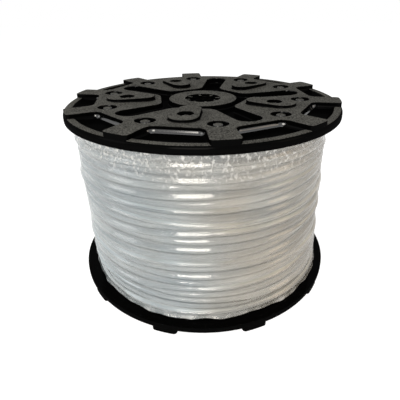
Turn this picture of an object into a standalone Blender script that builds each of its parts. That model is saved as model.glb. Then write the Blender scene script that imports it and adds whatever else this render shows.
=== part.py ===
"""String reel: two moulded flanges screwed to a hollow drum, a wound string and its stretch film.

Units are metres and +Z is up. The reel stands on its lower flange, with the origin at the middle of the
surface that it stands on. Run it with blender --background --python part.py or from the text editor.
"""

import math

import bmesh
import bpy
from mathutils import Matrix, Vector

# ---------------------------------------------------------------- driving dimensions
FLANGE_RADIUS = 0.1525          # a 12 inch reel
TRAVERSE = 0.183                # between the flanges' inner faces
STRING_DIAMETER = 0.00635       # quarter inch line
OUTER_LOOPS = 24                # turns in the outer layer
GAP = 0.0003                    # between pieces that touch

# Heights in a flange, measured outwards from the face that meets the winding.
FACE_LEVEL = 0.0125             # lugs and the outer part of the main face
PAD_LEVEL = 0.0150              # screw pads, the faces that the reel stands on
DISH_FLOOR = 0.0100             # the hub, where the main face is dished
LIP_LEVEL = 0.0082              # rim lip between the lugs
POCKET_FLOOR = 0.0062           # floor of the rim pockets
SLOT_FLOOR = 0.0042             # floor of the radial slots and of the moat round the hub
DIMPLE_FLOOR = 0.0072           # round recesses at the foot of the lugs
POST_LEVEL = 0.0115             # top of the post in each round recess
HUB_RECESS_FLOOR = 0.0062       # recess round the arbor hole
HUB_RIB_LEVEL = 0.0092          # ribs across that recess
SEAT_LEVEL = 0.0070             # where a screw's washer sits

# Rim.
LUG_COUNT = 10
LUG_HALF_WIDTH = 0.0132
LUG_INSET = 0.0012              # the lug's end stands this far inside the rim
LUG_CORNER = 0.0030
POCKET_CHORD = 0.779 * FLANGE_RADIUS
POCKET_CORNER = 0.0080
LIP_WIDTH = 0.0110
LIP_RISE = 0.0018               # how far the lip's inner side leans
LIP_SHOULDER = 0.0036           # radius of the rim's rounded outer edge
DIMPLE_CIRCLE = 0.711 * FLANGE_RADIUS
DIMPLE_RADIUS = 0.0089
DIMPLE_SIDES = 12
POST_RADIUS = 0.0032
POST_SIDES = 6

# Main face: a shallow dish, five slots that run into the moat round the hub, five screw pads.
DISH_INNER = 0.0460             # radius where the dish begins to rise
DISH_OUTER = 0.1165             # radius where it reaches the face
STAR_COUNT = 5
SLOT_END = 0.731 * FLANGE_RADIUS
SLOT_OUTER_HALF_WIDTH = 0.086 * FLANGE_RADIUS
SLOT_INNER_HALF_WIDTH = 0.070 * FLANGE_RADIUS
PETAL_CORNER = 0.0150           # rounding of the face's corners between slot and moat
MOAT_OUTER = 0.0517             # distance of those corners from the axis
PAD_INNER = (0.435 * FLANGE_RADIUS, 0.078 * FLANGE_RADIUS)      # centre on the arm, radius of the end
PAD_OUTER = (0.608 * FLANGE_RADIUS, 0.096 * FLANGE_RADIUS)
SCREW_CIRCLE = 0.0850
COUNTERBORE_RADIUS = 0.0078
COUNTERBORE_SIDES = 14
SCREW_HOLE_RADIUS = 0.0029
SCREW_SIDES = 8                 # also of the screw's hole and its pilot

# Hub.
ARBOR_RADIUS = 0.0105
HUB_RADIUS = 0.0387
HUB_RECESS_RADIUS = 0.0200
HUB_RIB_COUNT = 8
HUB_RIB_TURN = 22.0             # first rib, in degrees from the first pad
HUB_RIB_INNER = 0.0145
HUB_RIB_HALF_WIDTH = 0.0015

# Drum, with a screw tower behind each pad.
DRUM_RADIUS = 0.0945
DRUM_WALL = 0.0035
DRUM_GROOVE_DEPTH = 0.0020      # how far the drum's wall is let into each flange
TOWER_RADIUS = 0.0078
TOWER_LENGTH = 0.0220
TOWER_SIDES = 10
PILOT_RADIUS = 0.0028
PILOT_DEPTH = 0.0190

# Screws and washers.
SCREW_RADIUS = 0.0025
SCREW_LENGTH = 0.0240
SCREW_HEAD_RADIUS = 0.0048
SCREW_HEAD_HEIGHT = 0.0040
SCREW_CROWN_RADIUS = 0.0029     # flat top of the head
SCREW_CROWN_HEIGHT = 0.0018     # its rounded part
WASHER_RADIUS = 0.0070
WASHER_HOLE_RADIUS = 0.0029
WASHER_THICKNESS = 0.0014
WASHER_SIDES = 10

# Winding and film.
WINDING_RADIUS = 0.1385         # outside of the outer layer
CORE_CLEARANCE = 0.0012         # the outer layer's straight facets dip this far inside its true round
LOOP_POINTS = 24                # facets in a turn
OUTER_LAYER_START = 98.9        # where the lower end of the outer layer is, in degrees from +X
FILM_WALL = 0.0004
FILM_CLEARANCE = 0.0007
FILM_HEM_REACH = 0.0050         # how far the film's loose hem spreads on the lower flange
FILM_HEM_RISE = 0.0060          # height above that flange where the hem leaves the winding
FILM_TOP_FLARE = 0.0035         # how far the film stands off under the upper flange

# Turning about the reel's axis, in degrees, from +X.
UPPER_PAD_ANGLE = 258.9
LOWER_PAD_ANGLE = 271.6

LOWER_FACE_Z = PAD_LEVEL                    # inner face of the lower flange
UPPER_FACE_Z = PAD_LEVEL + TRAVERSE         # inner face of the upper flange
ROUND_STEPS = 60
SMOOTH_ANGLE = math.radians(32)
FLAT_ANGLE = math.radians(0.1)
WELD = 0.000005                 # points nearer than this are one
TURN_WELD = 0.00001             # the same, where a turned profile meets itself
ARC_STEPS = 6                   # facets along a round end
CORNER_STEPS = 2                # facets along a small corner
SLOT_CORNER_STEPS = 3           # facets along a corner of the slots
HUB_STEPS = 24
DISH_STEPS = 30
SLEEVE_STEPS = 48
SINK = 0.001                    # how far a joined shape reaches into the one below it
CLEAR = 0.005                   # how far a cutter stands out of what it cuts


# ---------------------------------------------------------------- scene and materials
def clear_scene():
    for obj in list(bpy.data.objects):
        bpy.data.objects.remove(obj, do_unlink=True)
    for group in list(bpy.data.collections):
        bpy.data.collections.remove(group)


def new_collection(name):
    group = bpy.data.collections.new(name)
    bpy.context.scene.collection.children.link(group)
    return group


def new_material(name, colour, roughness, metallic=0.0, alpha=1.0):
    material = bpy.data.materials.new(name)
    material.use_nodes = True
    shader = material.node_tree.nodes["Principled BSDF"]
    shader.inputs["Base Color"].default_value = (*colour, 1.0)
    shader.inputs["Roughness"].default_value = roughness
    shader.inputs["Metallic"].default_value = metallic
    shader.inputs["Alpha"].default_value = alpha
    return material


clear_scene()
REEL = new_collection("string_reel")
CUTTERS = new_collection("cutters")
BLACK_PLASTIC = new_material("black_plastic", (0.018, 0.018, 0.017), 0.32)
DRUM_PLASTIC = new_material("drum_plastic", (0.022, 0.022, 0.021), 0.45)
DARK_STEEL = new_material("dark_steel", (0.09, 0.088, 0.082), 0.38, metallic=1.0)
STRING_PLASTIC = new_material("string_plastic", (0.56, 0.60, 0.60), 0.30)
CLEAR_FILM = new_material("clear_film", (0.82, 0.84, 0.83), 0.12, alpha=0.35)


# ---------------------------------------------------------------- shapes
def shade(mesh):
    mesh.shade_smooth()
    mesh.set_sharp_from_angle(angle=SMOOTH_ANGLE)


def finished_mesh(obj, name, join_flat=False):
    """The object's evaluated shape as one welded mesh in world space; the object itself is removed.

    With join_flat, the triangles that fill a flat face are joined, since a later cut could leave a gap
    between the slivers among them."""
    graph = bpy.context.evaluated_depsgraph_get()
    mesh = bpy.data.meshes.new_from_object(obj.evaluated_get(graph), depsgraph=graph)
    mesh.name = name
    mesh.transform(obj.matrix_world)
    welder = bmesh.new()
    welder.from_mesh(mesh)
    bmesh.ops.remove_doubles(welder, verts=welder.verts, dist=WELD)
    if join_flat:
        bmesh.ops.dissolve_limit(welder, angle_limit=FLAT_ANGLE, verts=welder.verts, edges=welder.edges,
                                 delimit={"NORMAL"})
    welder.to_mesh(mesh)
    welder.free()
    bpy.data.objects.remove(obj, do_unlink=True)
    shade(mesh)
    return mesh


def place(name, mesh, material, at=None, into=REEL):
    obj = bpy.data.objects.new(name, mesh)
    if at is not None:
        obj.matrix_world = at
    if not mesh.materials:
        mesh.materials.append(material)
    into.objects.link(obj)
    return obj


def turned(name, profile, steps=ROUND_STEPS, into=CUTTERS):
    """A ring turned from a closed (radius, height) profile, read outwards over the top and down outside."""
    count = len(profile)
    mesh = bpy.data.meshes.new(name)
    mesh.from_pydata([(radius, 0.0, height) for radius, height in profile],
                     [(index, (index + 1) % count) for index in range(count)], [])
    obj = bpy.data.objects.new(name, mesh)
    into.objects.link(obj)
    screw = obj.modifiers.new("Turn", "SCREW")
    screw.steps = screw.render_steps = steps
    screw.use_merge_vertices = True
    screw.merge_threshold = TURN_WELD
    screw.use_smooth_shade = True
    return obj


def plate(name, outlines, low, high):
    """A flat plate from closed outlines, one body for each, or a hole for one that lies inside another."""
    curve = bpy.data.curves.new(name, "CURVE")
    curve.dimensions = "2D"
    curve.fill_mode = "BOTH"
    curve.extrude = (high - low) / 2
    for outline in outlines:
        spline = curve.splines.new("POLY")
        spline.points.add(len(outline) - 1)
        for point, (x, y) in zip(spline.points, outline):
            point.co = (x, y, 0.0, 1.0)
        spline.use_cyclic_u = True
    obj = bpy.data.objects.new(name, curve)
    obj.location.z = (low + high) / 2
    CUTTERS.objects.link(obj)
    bpy.context.view_layer.update()
    return place(name, finished_mesh(obj, name, join_flat=len(outlines) == 1), BLACK_PLASTIC, into=CUTTERS)


def rods(name, centres, radius, low, high, sides):
    """Upright round rods of one size, as one object of separate bodies."""
    builder = bmesh.new()
    for x, y in centres:
        bmesh.ops.create_cone(builder, cap_ends=True, segments=sides, radius1=radius, radius2=radius,
                              depth=high - low, matrix=Matrix.Translation((x, y, (low + high) / 2)))
    mesh = bpy.data.meshes.new(name)
    builder.to_mesh(mesh)
    builder.free()
    return place(name, mesh, BLACK_PLASTIC, into=CUTTERS)


def combine(obj, tool, operation):
    """Adds the tool to the object, or cuts it away, with a Boolean modifier."""
    tool.hide_render = True
    tool.display_type = "WIRE"
    modifier = obj.modifiers.new(tool.name, "BOOLEAN")
    modifier.operation = operation
    modifier.solver = "EXACT"
    modifier.object = tool


def drop_tools():
    for tool in list(CUTTERS.objects):
        bpy.data.objects.remove(tool, do_unlink=True)


# ---------------------------------------------------------------- outlines
def polar(radius, degrees):
    return Vector((radius * math.cos(math.radians(degrees)), radius * math.sin(math.radians(degrees))))


def turned_outline(outline, degrees):
    turn = Matrix.Rotation(math.radians(degrees), 2)
    return [tuple(turn @ Vector(point)) for point in outline]


def ring_of(outline, count, first):
    """Copies of an outline drawn along +X, spaced evenly round the axis from the first angle in degrees."""
    return [turned_outline(outline, first + index * 360 / count) for index in range(count)]


def spots(radius, count, first):
    return [tuple(polar(radius, first + index * 360 / count)) for index in range(count)]


def round_ended(inner, outer):
    """Outline along +X round two circles, each (centre, radius), with the straight sides that touch both."""
    lean = math.degrees(math.asin((outer[1] - inner[1]) / (outer[0] - inner[0])))
    side = 90 + lean
    points = []
    for index in range(ARC_STEPS + 1):
        points.append(Vector((outer[0], 0)) + polar(outer[1], -side + 2 * side * index / ARC_STEPS))
    for index in range(ARC_STEPS + 1):
        points.append(Vector((inner[0], 0)) + polar(inner[1], side + (360 - 2 * side) * index / ARC_STEPS))
    return [tuple(point) for point in points]


def rounded(corners, radii, steps=CORNER_STEPS):
    """A closed outline with its corners replaced by arcs of the given radii; a radius of 0 keeps one."""
    outline = []
    for index, corner in enumerate(corners):
        if radii[index] == 0:
            outline.append(tuple(corner))
            continue
        back = (corners[index - 1] - corner).normalized()
        ahead = (corners[(index + 1) % len(corners)] - corner).normalized()
        half = back.angle(ahead) / 2
        middle = corner + (back + ahead).normalized() * radii[index] / math.sin(half)
        reach = radii[index] / math.tan(half)
        start = corner + back * reach - middle
        sweep = start.angle_signed(corner + ahead * reach - middle)
        for step in range(steps + 1):
            outline.append(tuple(middle + Matrix.Rotation(-sweep * step / steps, 2) @ start))
    return outline


def star_outline(first_lug):
    """The main face: ten parallel-sided lugs that reach the rim, with a straight pocket edge between them."""
    half_step = 180 / LUG_COUNT
    rim = FLANGE_RADIUS - LUG_INSET
    slope = math.radians(half_step)
    root = (POCKET_CHORD - LUG_HALF_WIDTH * math.sin(slope)) / math.cos(slope)
    tip = math.sqrt(rim ** 2 - LUG_HALF_WIDTH ** 2)
    lug = [Vector((root, -LUG_HALF_WIDTH)), Vector((tip, -LUG_HALF_WIDTH)), Vector((rim, 0.0)),
           Vector((tip, LUG_HALF_WIDTH)), Vector((root, LUG_HALF_WIDTH))]
    radii = [POCKET_CORNER, LUG_CORNER, 0, LUG_CORNER, POCKET_CORNER]
    corners = []
    for index in range(LUG_COUNT):
        turn = Matrix.Rotation(math.radians(first_lug + index * 2 * half_step), 2)
        corners += [turn @ corner for corner in lug]
    return rounded(corners, radii * LUG_COUNT)


def slot_outline(first_slot):
    """Five round-ended slots that open into one moat; the hub is left standing inside it."""
    mouth = math.degrees(math.asin(SLOT_INNER_HALF_WIDTH / MOAT_OUTER))
    end = [Vector((SLOT_END, -SLOT_OUTER_HALF_WIDTH)), Vector((SLOT_END, SLOT_OUTER_HALF_WIDTH))]
    end_corner = 0.92 * SLOT_OUTER_HALF_WIDTH       # a full half width would leave no straight side
    corners = []
    for index in range(STAR_COUNT):
        degrees = first_slot + index * 360 / STAR_COUNT
        turn = Matrix.Rotation(math.radians(degrees), 2)
        corners += [polar(MOAT_OUTER, degrees - mouth), turn @ end[0], turn @ end[1],
                    polar(MOAT_OUTER, degrees + mouth)]
    return rounded(corners, [PETAL_CORNER, end_corner, end_corner, PETAL_CORNER] * STAR_COUNT,
                   SLOT_CORNER_STEPS)


# ---------------------------------------------------------------- flange
def flange_mesh():
    """One flange, its inner face on the XY plane and its first pad on +X; both flanges are this moulding."""
    first_slot = 180 / STAR_COUNT
    first_lug = 180 / LUG_COUNT
    bore = ARBOR_RADIUS / 2
    groove_outer = DRUM_RADIUS + GAP
    groove_inner = DRUM_RADIUS - DRUM_WALL - GAP
    groove_top = DRUM_GROOVE_DEPTH + GAP
    lip_inner = FLANGE_RADIUS - LIP_WIDTH
    flange = turned("flange", [
        (bore, POCKET_FLOOR), (lip_inner, POCKET_FLOOR), (lip_inner + LIP_RISE, LIP_LEVEL),
        (FLANGE_RADIUS - LIP_SHOULDER, LIP_LEVEL),
        (FLANGE_RADIUS - LIP_SHOULDER * 0.3, LIP_LEVEL - LIP_SHOULDER * 0.3),
        (FLANGE_RADIUS, LIP_LEVEL - LIP_SHOULDER), (FLANGE_RADIUS, 0.0),
        (groove_outer, 0.0), (groove_outer, groove_top), (groove_inner, groove_top), (groove_inner, 0.0),
        (bore, 0.0)])

    above = PAD_LEVEL + CLEAR
    star = plate("star", [star_outline(first_lug)], POCKET_FLOOR - SINK, FACE_LEVEL)
    combine(flange, star, "UNION")
    dish_slope = (FACE_LEVEL - DISH_FLOOR) / (DISH_OUTER - DISH_INNER)
    dish_rim = DISH_FLOOR + dish_slope * (FLANGE_RADIUS - DISH_INNER)       # clear of the face
    dish = turned("dish", [(bore, above), (FLANGE_RADIUS, above), (FLANGE_RADIUS, dish_rim),
                           (DISH_INNER, DISH_FLOOR), (bore, DISH_FLOOR)], DISH_STEPS)
    combine(flange, dish, "DIFFERENCE")
    pads = ring_of(round_ended(PAD_INNER, PAD_OUTER), STAR_COUNT, 0)
    combine(flange, plate("pads", pads, DISH_FLOOR - SINK, PAD_LEVEL), "UNION")
    hub = spots(HUB_RADIUS, HUB_STEPS, 0)
    combine(flange, plate("slots", [slot_outline(first_slot), hub], SLOT_FLOOR, above), "DIFFERENCE")

    dimples = spots(DIMPLE_CIRCLE, LUG_COUNT, first_lug)
    dimple_rods = rods("dimples", dimples, DIMPLE_RADIUS, DIMPLE_FLOOR, above, DIMPLE_SIDES)
    combine(flange, dimple_rods, "DIFFERENCE")
    posts = rods("posts", dimples, POST_RADIUS, DIMPLE_FLOOR - SINK, POST_LEVEL, POST_SIDES)
    combine(flange, posts, "UNION")

    recess = rods("hub_recess", [(0.0, 0.0)], HUB_RECESS_RADIUS, HUB_RECESS_FLOOR, above, HUB_STEPS)
    combine(flange, recess, "DIFFERENCE")
    rib_outer = HUB_RECESS_RADIUS + SINK
    rib = [(HUB_RIB_INNER, -HUB_RIB_HALF_WIDTH), (rib_outer, -HUB_RIB_HALF_WIDTH),
           (rib_outer, HUB_RIB_HALF_WIDTH), (HUB_RIB_INNER, HUB_RIB_HALF_WIDTH)]
    rib_outlines = ring_of(rib, HUB_RIB_COUNT, HUB_RIB_TURN)
    combine(flange, plate("hub_ribs", rib_outlines, HUB_RECESS_FLOOR - SINK, HUB_RIB_LEVEL), "UNION")

    screws = spots(SCREW_CIRCLE, STAR_COUNT, 0)
    counterbores = rods("counterbores", screws, COUNTERBORE_RADIUS, SEAT_LEVEL, above, COUNTERBORE_SIDES)
    combine(flange, counterbores, "DIFFERENCE")
    holes = rods("screw_holes", screws, SCREW_HOLE_RADIUS, -CLEAR, above, SCREW_SIDES)
    combine(flange, holes, "DIFFERENCE")
    arbor = rods("arbor", [(0.0, 0.0)], ARBOR_RADIUS, -CLEAR, above, HUB_STEPS)
    combine(flange, arbor, "DIFFERENCE")
    bpy.context.view_layer.update()
    mesh = finished_mesh(flange, "flange")
    drop_tools()
    return mesh


def upper_at(degrees):
    return Matrix.Translation((0, 0, UPPER_FACE_Z)) @ Matrix.Rotation(math.radians(degrees), 4, "Z")


def lower_at(degrees):
    """The same frame turned over: +Z of the piece points down, and its +X stays at the given angle."""
    return (Matrix.Translation((0, 0, LOWER_FACE_Z)) @ Matrix.Rotation(math.radians(degrees), 4, "Z")
            @ Matrix.Rotation(math.pi, 4, "X"))


def build_flanges():
    mesh = flange_mesh()
    place("upper_flange", mesh, BLACK_PLASTIC, upper_at(UPPER_PAD_ANGLE))
    place("lower_flange", mesh, BLACK_PLASTIC, lower_at(LOWER_PAD_ANGLE))


# ---------------------------------------------------------------- drum
def build_drum():
    """A moulded tube let into both flanges, with five screw towers inside each end."""
    inner = DRUM_RADIUS - DRUM_WALL
    low = LOWER_FACE_Z - DRUM_GROOVE_DEPTH
    high = UPPER_FACE_Z + DRUM_GROOVE_DEPTH
    drum = turned("drum_tube", [(inner, high), (DRUM_RADIUS, high), (DRUM_RADIUS, low), (inner, low)])
    ends = [(UPPER_PAD_ANGLE, UPPER_FACE_Z - GAP, -1), (LOWER_PAD_ANGLE, LOWER_FACE_Z + GAP, 1)]
    for label, (angle, mouth, inward) in zip(("upper", "lower"), ends):
        centres = spots(SCREW_CIRCLE, STAR_COUNT, angle)
        foot = mouth + inward * TOWER_LENGTH
        towers = rods(label + "_towers", centres, TOWER_RADIUS, min(mouth, foot), max(mouth, foot),
                      TOWER_SIDES)
        combine(drum, towers, "UNION")
        bottom = mouth + inward * PILOT_DEPTH
        outside = mouth - inward * SINK
        pilots = rods(label + "_pilots", centres, PILOT_RADIUS, min(outside, bottom),
                      max(outside, bottom), SCREW_SIDES)
        combine(drum, pilots, "DIFFERENCE")
    bpy.context.view_layer.update()
    mesh = finished_mesh(drum, "drum")
    drop_tools()
    place("drum", mesh, DRUM_PLASTIC)


# ---------------------------------------------------------------- screws and washers
def screw_mesh():
    """A pan head screw in the flange's frame, its head on the washer and its tip in the drum's tower."""
    seat = SEAT_LEVEL + GAP + WASHER_THICKNESS + GAP
    top = seat + SCREW_HEAD_HEIGHT
    mesh = bpy.data.meshes.new("screw_profile")
    profile = [(0.0, top), (SCREW_CROWN_RADIUS, top), (SCREW_HEAD_RADIUS, top - SCREW_CROWN_HEIGHT),
               (SCREW_HEAD_RADIUS, seat), (SCREW_RADIUS, seat),
               (SCREW_RADIUS, top - SCREW_LENGTH + SCREW_RADIUS), (0.0, top - SCREW_LENGTH)]
    mesh.from_pydata([(radius, 0.0, height) for radius, height in profile],
                     [(index, index + 1) for index in range(len(profile) - 1)], [])
    obj = bpy.data.objects.new("screw_profile", mesh)
    CUTTERS.objects.link(obj)
    turn = obj.modifiers.new("Turn", "SCREW")
    turn.steps = turn.render_steps = SCREW_SIDES
    turn.use_merge_vertices = True
    turn.merge_threshold = TURN_WELD
    bpy.context.view_layer.update()
    return finished_mesh(obj, "screw")


def washer_mesh():
    low = SEAT_LEVEL + GAP
    high = low + WASHER_THICKNESS
    obj = turned("washer_ring", [(WASHER_HOLE_RADIUS, high), (WASHER_RADIUS, high), (WASHER_RADIUS, low),
                                 (WASHER_HOLE_RADIUS, low)], WASHER_SIDES)
    bpy.context.view_layer.update()
    return finished_mesh(obj, "washer")


def build_fasteners():
    screw = screw_mesh()
    washer = washer_mesh()
    out = Matrix.Translation((SCREW_CIRCLE, 0, 0))
    for index in range(STAR_COUNT):
        turn = index * 360 / STAR_COUNT
        flanges = (("upper", upper_at(UPPER_PAD_ANGLE + turn)), ("lower", lower_at(LOWER_PAD_ANGLE + turn)))
        for label, at in flanges:
            place(f"{label}_screw_{index + 1}", screw, DARK_STEEL, at @ out)
            place(f"{label}_washer_{index + 1}", washer, DARK_STEEL, at @ out)


# ---------------------------------------------------------------- string
def outer_layer_points():
    """The outer layer's centre line: a helix of OUTER_LOOPS turns whose ends run straight for one diameter."""
    radius = WINDING_RADIUS - STRING_DIAMETER / 2
    low = LOWER_FACE_Z + GAP + STRING_DIAMETER / 2
    high = UPPER_FACE_Z - GAP - STRING_DIAMETER / 2
    steps = OUTER_LOOPS * LOOP_POINTS
    start = math.radians(OUTER_LAYER_START)
    points = []
    for index in range(steps + 1):
        angle = start + 2 * math.pi * index / LOOP_POINTS
        height = low + (high - low) * index / steps
        points.append(Vector((radius * math.cos(angle), radius * math.sin(angle), height)))
    for end, near in ((0, 1), (-1, -2)):
        inward = points[end].copy()
        inward.z = 0
        along = points[end] - points[near]
        along.z = 0
        along -= inward * along.dot(inward) / inward.length_squared
        tail = points[end] + along.normalized() * STRING_DIAMETER
        points = [tail] + points if end == 0 else points + [tail]
    return points


def least_gap(points, diameter):
    """Clear space between a tube and itself: the least distance of points a third of a turn or more apart."""
    least = math.inf
    skip = LOOP_POINTS // 3
    for index, point in enumerate(points):
        for other in points[index + skip:index + 2 * LOOP_POINTS]:
            least = min(least, (point - other).length)
    return least - diameter


def build_string():
    points = outer_layer_points()
    print(f"string_outer_layer: least gap to itself {1000 * least_gap(points, STRING_DIAMETER):.2f} mm")
    curve = bpy.data.curves.new("string_outer_layer", "CURVE")
    curve.dimensions = "3D"
    curve.bevel_depth = STRING_DIAMETER / 2
    curve.bevel_resolution = 1
    curve.use_fill_caps = True
    spline = curve.splines.new("POLY")
    spline.points.add(len(points) - 1)
    for point, place_at in zip(spline.points, points):
        point.co = (*place_at, 1.0)
    curve.materials.append(STRING_PLASTIC)
    REEL.objects.link(bpy.data.objects.new("string_outer_layer", curve))

    core_outer = WINDING_RADIUS - STRING_DIAMETER - CORE_CLEARANCE - GAP
    core_inner = DRUM_RADIUS + 2 * GAP
    low = LOWER_FACE_Z + GAP
    high = UPPER_FACE_Z - GAP
    core = turned("string_core", [(core_inner, high), (core_outer, high), (core_outer, low),
                                  (core_inner, low)], SLEEVE_STEPS)
    bpy.context.view_layer.update()
    place("string_inner_layers", finished_mesh(core, "string_inner_layers"), STRING_PLASTIC)


# ---------------------------------------------------------------- film
def build_film():
    """A thin sleeve that hugs the winding, with a hem that spreads on the lower flange."""
    inner = WINDING_RADIUS + FILM_CLEARANCE
    outer = inner + FILM_WALL
    low = LOWER_FACE_Z + GAP
    high = UPPER_FACE_Z - GAP
    shoulder = high - 2 * FILM_TOP_FLARE
    waist = low + FILM_HEM_RISE
    profile = [(inner + FILM_TOP_FLARE, high), (outer + FILM_TOP_FLARE, high), (outer, shoulder),
               (outer, waist),
               (outer + FILM_HEM_REACH, low + FILM_WALL), (outer + FILM_HEM_REACH, low),
               (inner + FILM_WALL, low), (inner, waist), (inner, shoulder)]
    film = turned("film_sleeve", profile, SLEEVE_STEPS)
    bpy.context.view_layer.update()
    place("stretch_film", finished_mesh(film, "stretch_film"), CLEAR_FILM)


build_flanges()
build_drum()
build_fasteners()
build_string()
build_film()
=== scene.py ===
import math

import bpy
import numpy as np
from mathutils import Matrix


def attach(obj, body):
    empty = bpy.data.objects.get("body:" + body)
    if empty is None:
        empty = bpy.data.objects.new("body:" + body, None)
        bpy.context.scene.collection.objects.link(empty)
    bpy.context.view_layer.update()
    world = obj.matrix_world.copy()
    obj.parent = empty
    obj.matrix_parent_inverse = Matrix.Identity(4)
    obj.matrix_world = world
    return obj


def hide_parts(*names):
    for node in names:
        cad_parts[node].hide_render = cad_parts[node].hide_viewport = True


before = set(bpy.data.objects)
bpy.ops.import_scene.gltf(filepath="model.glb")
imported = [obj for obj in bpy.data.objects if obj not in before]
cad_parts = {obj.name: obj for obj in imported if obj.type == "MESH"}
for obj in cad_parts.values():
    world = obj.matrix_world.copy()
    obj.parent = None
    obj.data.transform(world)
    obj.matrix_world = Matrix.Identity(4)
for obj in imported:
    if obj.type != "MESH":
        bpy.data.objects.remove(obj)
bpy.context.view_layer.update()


# ------------------------------------------------------------------ drum
# The reel's core is a tube moulded in dull black plastic, with a screw tower behind each pad.
# It is let into a groove in both flanges, and only its inside shows, through the arbor holes.
DRUM_BLACK = (0.012, 0.012, 0.012)
DRUM_BLOOM = (0.030, 0.030, 0.028)


class Shade:
    """A shader socket to calculate with: arithmetic on it adds the Math nodes that it needs."""

    def __init__(self, tree, socket=None):
        self.tree = tree
        self.socket = socket

    def node(self, kind, settings=None, inputs=None, output=0):
        """Any other node: its settings, such as an operation, then its inputs' values or links."""
        made = self.tree.nodes.new("ShaderNode" + kind)
        for name, value in (settings or {}).items():
            setattr(made, name, value)
        for name, value in (inputs or {}).items():
            if isinstance(value, Shade):
                self.tree.links.new(value.socket, made.inputs[name])
            else:
                made.inputs[name].default_value = value
        return Shade(self.tree, made.outputs[output])

    def maths(self, operation, first, second):
        return self.node("Math", {"operation": operation}, {0: first, 1: second})

    def __add__(self, other):
        return self.maths("ADD", self, other)

    def __sub__(self, other):
        return self.maths("SUBTRACT", self, other)

    def __rsub__(self, other):
        return self.maths("SUBTRACT", other, self)

    def __mul__(self, other):
        return self.maths("MULTIPLY", self, other)

    __radd__ = __add__
    __rmul__ = __mul__

    def clamped(self):
        return self.node("Clamp", {}, {0: self})

    def mixed(self, none, full):
        """A colour that goes from the first to the second as this value goes from 0 to 1."""
        mix = {"data_type": "RGBA"}
        colours = {at: c if isinstance(c, Shade) else (*c, 1.0) for at, c in ((6, none), (7, full))}
        return self.node("Mix", mix, {0: self, **colours}, 2)

    def noise(self, at, scale, detail=2.0, stretch=None):
        """Cloudy noise from 0 to 1 at that many features to the metre, drawn out where stretch says so."""
        if stretch is not None:
            at = self.node("Mapping", {}, {"Vector": at, "Scale": stretch})
        return self.node("TexNoise", {}, {"Vector": at, "Scale": scale, "Detail": detail})

    def bump(self, height, distance):
        return self.node("Bump", {}, {"Height": height, "Distance": distance, "Strength": 1.0})


def new_finish(name, paint):
    """A material with one Principled shader. The paint function gives what each of its sockets takes."""
    material = bpy.data.materials.new(name)
    material.use_nodes = True
    tree = material.node_tree
    shader = tree.nodes["Principled BSDF"]
    for socket, value in paint(Shade(tree)).items():
        if isinstance(value, Shade):
            tree.links.new(value.socket, shader.inputs[socket])
        else:
            shader.inputs[socket].default_value = value
    return material


def dull_plastic(start):
    """Plain black with a cloudy bloom and a fine grain, as the mould left it."""
    at = start.node("TexCoord", output="Object")
    grain = start.noise(at, 900.0)
    cloud = start.noise(at, 35.0, 4.0)
    return {
        "Base Color": cloud.mixed(DRUM_BLACK, DRUM_BLOOM),
        "Roughness": cloud * 0.2 + 0.42,
        "Normal": start.bump(grain, 0.00008),
    }


drum_finish = new_finish("drum_plastic_finish", dull_plastic)
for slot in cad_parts["drum"].material_slots:
    slot.material = drum_finish


# ------------------------------------------------------------------ flanges
# Two black mouldings from one tool, in hard plastic. Ten lugs reach the rim with a sunk pocket between each
# pair. The face is a shallow dish with five slots that open into a moat round the hub, and five raised pads.
FLANGE_RADIUS = 0.1525
FACE = 0.0125                   # levels are heights over the inner face, which meets the winding
PAD = 0.0150
DISH_FLOOR = 0.0100
LIP = 0.0082
POCKET_FLOOR = 0.0062
SLOT_FLOOR = 0.0042
DIMPLE_FLOOR = 0.0072
POST = 0.0117
HUB_RECESS_FLOOR = 0.0062
HUB_RIB = 0.0092
SEAT = 0.0070

DISH = (0.0460, 0.1165)         # radius where the face begins to rise, and where it is level again
ARM_COUNT = 5                   # arms, each with a pad and a screw, and as many slots between them
SLOT_END = 0.731 * FLANGE_RADIUS
SLOT_HALF_WIDTHS = (0.070 * FLANGE_RADIUS, 0.086 * FLANGE_RADIUS)   # at the moat and at the outer end
SLOT_MOUTH = 0.0517             # distance from the axis of the corners between slot and moat
SLOT_MOUTH_CORNER = 0.0150
PAD_ENDS = ((0.435, 0.078), (0.608, 0.096))         # centre on the arm and end radius, by the flange's radius
LUG_COUNT = 10
HALF_LUG = 180 / LUG_COUNT      # degrees from a pad's middle to the lugs on both sides of it
LUG_HALF_WIDTH = 0.0132
LUG_INSET = 0.0012              # how far in from the rim a lug ends
LUG_CORNER = 0.0034
POCKET_CHORD = 0.779 * FLANGE_RADIUS
POCKET_CORNER = 0.0080
LIP_FOOT = (0.1396, 0.0062)     # radius where the lip begins to rise, and how far it takes
LIP_SHOULDER = 0.0036
DIMPLE_CIRCLE = 0.711 * FLANGE_RADIUS
DIMPLE_RADIUS = 0.0096
POST_RADIUS = 0.0047
SCREW_CIRCLE = 0.0850
COUNTERBORE_RADIUS = 0.0078
SCREW_HOLE_RADIUS = 0.0029
ARBOR_RADIUS = 0.0105
HUB_RADIUS = 0.0387
HUB_RECESS_RADIUS = 0.0200
HUB_RIB_COUNT = 8
HUB_RIB_TURN = 22.0             # degrees from the first pad to the first rib
HUB_RIB_INNER = 0.0145
HUB_RIB_HALF_WIDTH = 0.0015
DRUM_GROOVE = (0.0907, 0.0948, 0.0023)              # inner and outer radius, depth

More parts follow.
